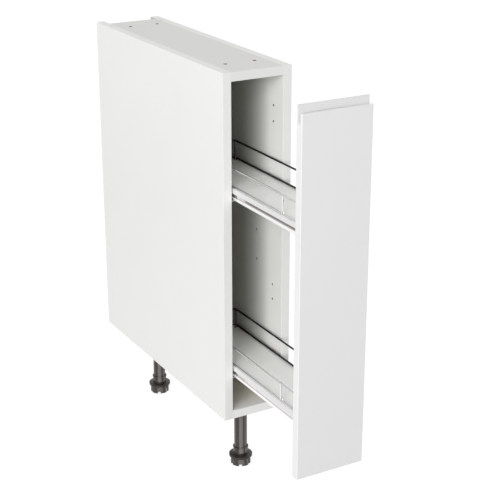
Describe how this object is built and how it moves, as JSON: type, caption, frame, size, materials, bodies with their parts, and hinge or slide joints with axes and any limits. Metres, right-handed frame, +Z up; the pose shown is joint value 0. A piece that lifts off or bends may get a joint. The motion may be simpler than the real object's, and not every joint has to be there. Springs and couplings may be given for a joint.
{
  "type": "pull-out base cabinet",
  "caption": "Narrow white kitchen base cabinet with a full-height pull-out door that carries railed trays, on dark adjustable legs.",
  "frame": {"origin": "on the floor, under the middle of the whole object's box, with the pull-out at rest 255 mm open", "axes": "+Z up, -Y towards the door, +X to the right of someone who faces the door"},
  "size_m": [0.15, 0.855, 0.87],
  "materials": {
    "board": "satin white melamine on chipboard",
    "back_board": "satin white melamine on chipboard",
    "edging": "satin white edging strip",
    "beech": "raw beech, fluted",
    "tray_board": "satin white melamine on board",
    "door_front": "smooth satin white foil on fibreboard",
    "buffer": "soft translucent bumper",
    "leg_plastic": "dark grey-brown moulded plastic",
    "runner_steel": "bright zinc plate",
    "cage_steel": "thin zinc-plated strip",
    "ball_steel": "polished bearing steel",
    "bracket_steel": "light grey powder coat",
    "chrome_wire": "polished chrome",
    "zinc": "zinc-plated screw"
  },
  "bodies": {
    "carcass": {"left_side_panel": "board", "right_side_panel": "board", "top_panel": "board", "bottom_panel": "board", "back_panel": "back_board", "front_edging": "edging", "carcass_dowels": "beech", "front_leg_mount": "leg_plastic", "rear_leg_mount": "leg_plastic", "leg_mount_screws": "zinc", "front_leg_tube": "leg_plastic", "rear_leg_tube": "leg_plastic", "front_leg_collar": "leg_plastic", "rear_leg_collar": "leg_plastic", "upper_left_fixed_member": "runner_steel", "upper_right_fixed_member": "runner_steel", "lower_left_fixed_member": "runner_steel", "lower_right_fixed_member": "runner_steel", "fixed_member_screws": "zinc"},
    "inner_cages": {"upper_left_inner_cage": "cage_steel", "upper_right_inner_cage": "cage_steel", "lower_left_inner_cage": "cage_steel", "lower_right_inner_cage": "cage_steel", "inner_balls": "ball_steel"},
    "middle_members": {"upper_left_middle_member": "runner_steel", "upper_right_middle_member": "runner_steel", "lower_left_middle_member": "runner_steel", "lower_right_middle_member": "runner_steel"},
    "outer_cages": {"upper_left_outer_cage": "cage_steel", "upper_right_outer_cage": "cage_steel", "lower_left_outer_cage": "cage_steel", "lower_right_outer_cage": "cage_steel", "outer_balls": "ball_steel"},
    "pull_out": {"upper_left_tray_member": "runner_steel", "upper_right_tray_member": "runner_steel", "lower_left_tray_member": "runner_steel", "lower_right_tray_member": "runner_steel", "tray_member_screws": "zinc", "upper_tray": "tray_board", "lower_tray": "tray_board", "upper_top_wire": "chrome_wire", "lower_top_wire": "chrome_wire", "upper_bottom_wire": "chrome_wire", "lower_bottom_wire": "chrome_wire", "upper_posts": "chrome_wire", "lower_posts": "chrome_wire", "post_screws": "zinc", "door": "door_front", "door_buffers": "buffer", "upper_door_bracket": "bracket_steel", "lower_door_bracket": "bracket_steel", "door_bracket_screws": "zinc"},
    "front_foot": {"front_foot": "leg_plastic"},
    "rear_foot": {"rear_foot": "leg_plastic"}
  },
  "joints": [
    {"name": "pull_out_slide", "type": "slide", "parent": "carcass", "child": "pull_out", "axis": [0, -1, 0], "range_m": [-0.255, 0.185]},
    {"name": "inner_cage_slide", "type": "slide", "parent": "carcass", "child": "inner_cages", "axis": [0, -1, 0], "range_m": [-0.06375, 0.04625]},
    {"name": "middle_member_slide", "type": "slide", "parent": "carcass", "child": "middle_members", "axis": [0, -1, 0], "range_m": [-0.1275, 0.0925]},
    {"name": "outer_cage_slide", "type": "slide", "parent": "carcass", "child": "outer_cages", "axis": [0, -1, 0], "range_m": [-0.19125, 0.13875]},
    {"name": "front_foot_height", "type": "slide", "parent": "carcass", "child": "front_foot", "axis": [0, 0, -1], "range_m": [0, 0.02]},
    {"name": "rear_foot_height", "type": "slide", "parent": "carcass", "child": "rear_foot", "axis": [0, 0, -1], "range_m": [0, 0.02]}
  ],
  "couplings": [
    {"joint": "inner_cage_slide", "follows": "pull_out_slide", "ratio": 0.25},
    {"joint": "middle_member_slide", "follows": "pull_out_slide", "ratio": 0.5},
    {"joint": "outer_cage_slide", "follows": "pull_out_slide", "ratio": 0.75}
  ]
}
